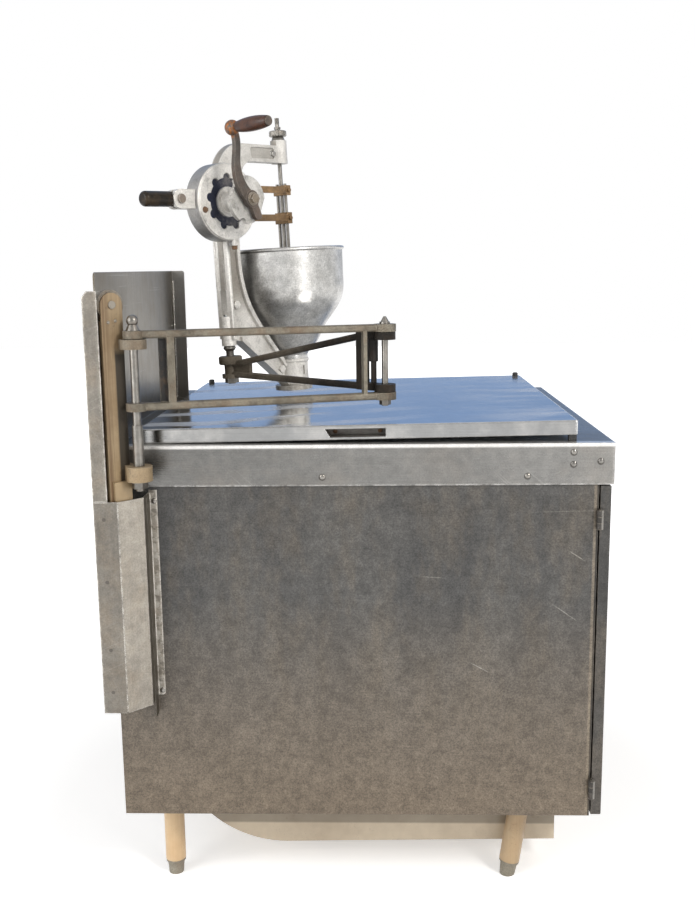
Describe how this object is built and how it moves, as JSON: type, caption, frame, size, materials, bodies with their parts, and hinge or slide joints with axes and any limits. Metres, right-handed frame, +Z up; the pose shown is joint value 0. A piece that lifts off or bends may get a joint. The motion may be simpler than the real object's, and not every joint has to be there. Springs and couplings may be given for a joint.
{
  "type": "donut fryer",
  "caption": "Stainless cabinet donut fryer on legs with a lift-off lid and a hand-cranked batter depositor that swings over the kettle on a jointed arm.",
  "frame": {"origin": "on the floor under the middle of the whole object", "axes": "+Z up, +X towards the door side, -Y towards the side with the lift mast"},
  "size_m": [0.938, 0.9564, 1.5549],
  "materials": {
    "panel_steel": "stained satin stainless sheet",
    "counter_steel": "brushed stainless sheet",
    "lid_steel": "smooth bright stainless sheet",
    "splash_steel": "brushed stainless sheet",
    "kettle_steel": "welded stainless plate",
    "inner_steel": "plain mill sheet",
    "frame_paint": "painted angle iron",
    "guard_zinc": "galvanised sheet",
    "post_steel": "worn ochre paint on flat steel",
    "arm_iron": "rust brown cast iron",
    "rod_steel": "turned bright steel",
    "leg_paint": "cream enamel",
    "foot_metal": "cast grey metal",
    "pan_paint": "cream enamel sheet",
    "casting": "sand-cast aluminium",
    "spun_aluminium": "spun and polished",
    "bronze": "dull bronze",
    "screw_steel": "plated screws",
    "pipe_iron": "black pipe",
    "valve_brass": "plain brass",
    "knob_plastic": "black moulded",
    "lever_vinyl": "red dipped lever",
    "rubber": "black rubber",
    "cable_steel": "wire rope",
    "weight_iron": "rough cast iron",
    "handle_dark": "dark brown moulded grip",
    "grip_wood": "dark stained wood"
  },
  "bodies": {
    "cabinet": {"base_frame": "frame_paint", "side_panel_near": "panel_steel", "side_panel_far": "panel_steel", "back_panel": "panel_steel", "counter_top": "counter_steel", "sheet_screws": "screw_steel", "splash_back": "splash_steel", "kettle": "kettle_steel", "fire_box": "inner_steel", "burner_tubes": "pipe_iron", "gas_manifold": "pipe_iron", "gas_valve": "valve_brass", "control_panel": "inner_steel", "thermostat": "knob_plastic", "drain_pipe": "pipe_iron", "drain_valve": "valve_brass", "legs": "leg_paint", "feet": "foot_metal", "drain_pan": "pan_paint", "jamb_hinge_leaves": "screw_steel", "door_catch": "rubber", "upper_guard": "guard_zinc", "lower_guard": "guard_zinc", "lift_post": "post_steel", "post_fixings": "arm_iron", "lift_cable": "cable_steel"},
    "door_leaf": {"door": "panel_steel", "door_pull": "counter_steel", "door_hinge_leaves": "screw_steel"},
    "lid": {"lid": "lid_steel", "lid_feet": "rubber", "lid_pegs": "rubber"},
    "sheave": {"sheave": "arm_iron"},
    "counterweight": {"counterweight": "weight_iron"},
    "carriage": {"carriage": "arm_iron", "hinge_rod": "rod_steel"},
    "inner_arm": {"inner_arm": "arm_iron", "elbow_pin": "rod_steel"},
    "outer_arm": {"outer_arm": "arm_iron", "elbow_lock": "rod_steel", "spindle": "rod_steel"},
    "depositor": {"depositor_frame": "casting", "cam_housing": "casting", "hopper": "spun_aluminium", "barrel": "casting", "handle_bracket": "casting", "handle_grip": "handle_dark"},
    "crank": {"crank_shaft": "casting", "crank_arm": "rod_steel"},
    "crank_grip": {"crank_grip": "grip_wood"},
    "plunger": {"plunger": "rod_steel", "upper_yoke": "bronze"},
    "cutter": {"cutter": "rod_steel", "lower_yoke": "bronze"},
    "dose_nut": {"dose_nut": "rod_steel"},
    "drain_lever": {"drain_handle": "lever_vinyl"},
    "thermostat_knob": {"thermostat_knob": "knob_plastic"},
    "gas_knob": {"gas_knob": "knob_plastic"}
  },
  "joints": [
    {"name": "door_hinge", "type": "hinge", "parent": "cabinet", "child": "door_leaf", "pos_m": [0.4435, -0.4003, 0.5], "axis": [0, 0, -1], "range_deg": [0, 100]},
    {"name": "lid_draw", "type": "slide", "parent": "cabinet", "child": "lid", "axis": [1, 0, 0], "range_m": [0, 0.88]},
    {"name": "lift", "type": "slide", "parent": "cabinet", "child": "carriage", "axis": [0, 0, 1], "range_m": [0, 0.04], "deforming": ["lift_cable"]},
    {"name": "counterweight_run", "type": "slide", "parent": "cabinet", "child": "counterweight", "axis": [0, 0, 1], "range_m": [-0.0401, 0.0001]},
    {"name": "sheave_spin", "type": "hinge", "parent": "cabinet", "child": "sheave", "pos_m": [-0.429, -0.45, 1.173], "axis": [0.7071, -0.7071, 0], "range_deg": [-1, 99]},
    {"name": "inner_arm_swing", "type": "hinge", "parent": "carriage", "child": "inner_arm", "pos_m": [-0.387, -0.456, 1.059], "axis": [0, 0, 1], "range_deg": [-105, 4]},
    {"name": "outer_arm_swing", "type": "hinge", "parent": "inner_arm", "child": "outer_arm", "pos_m": [0.05219, -0.31921, 1.059], "axis": [0, 0, 1], "range_deg": [-160, 5]},
    {"name": "depositor_swivel", "type": "hinge", "parent": "outer_arm", "child": "depositor", "pos_m": [-0.27812, -0.05598, 1.07796], "axis": [-0.0436, 0, 0.999], "range_deg": [-55, 20]},
    {"name": "crank_turn", "type": "hinge", "parent": "depositor", "child": "crank", "pos_m": [-0.23909, -0.11889, 1.36794], "axis": [0.7653, -0.6428, 0.0334], "continuous": true},
    {"name": "crank_grip_turn", "type": "hinge", "parent": "crank", "child": "crank_grip", "pos_m": [-0.20682, -0.19784, 1.50448], "axis": [0.7653, -0.6428, 0.0334], "continuous": true},
    {"name": "plunger_stroke", "type": "slide", "parent": "depositor", "child": "plunger", "axis": [-0.0436, 0, 0.999], "range_m": [0, 0.024]},
    {"name": "cutter_stroke", "type": "slide", "parent": "depositor", "child": "cutter", "axis": [-0.0436, 0, 0.999], "range_m": [0, 0.02]},
    {"name": "dose_nut_turn", "type": "hinge", "parent": "plunger", "child": "dose_nut", "pos_m": [-0.17765, 0.0865, 1.51776], "axis": [-0.0436, 0, 0.999], "continuous": true},
    {"name": "drain_lever_turn", "type": "hinge", "parent": "cabinet", "child": "drain_lever", "pos_m": [0.3725, 0.016, 0.56], "axis": [1, 0, 0], "range_deg": [0, 90]},
    {"name": "thermostat_turn", "type": "hinge", "parent": "cabinet", "child": "thermostat_knob", "pos_m": [0.398, -0.179, 0.75], "axis": [1, 0, 0], "range_deg": [0, 270]},
    {"name": "gas_turn", "type": "hinge", "parent": "cabinet", "child": "gas_knob", "pos_m": [0.398, 0.32125, 0.662], "axis": [1, 0, 0], "range_deg": [0, 90]}
  ],
  "couplings": [
    {"joint": "counterweight_run", "follows": "lift", "ratio": -1},
    {"joint": "sheave_spin", "follows": "lift", "rad_per_m": 42.553}
  ]
}
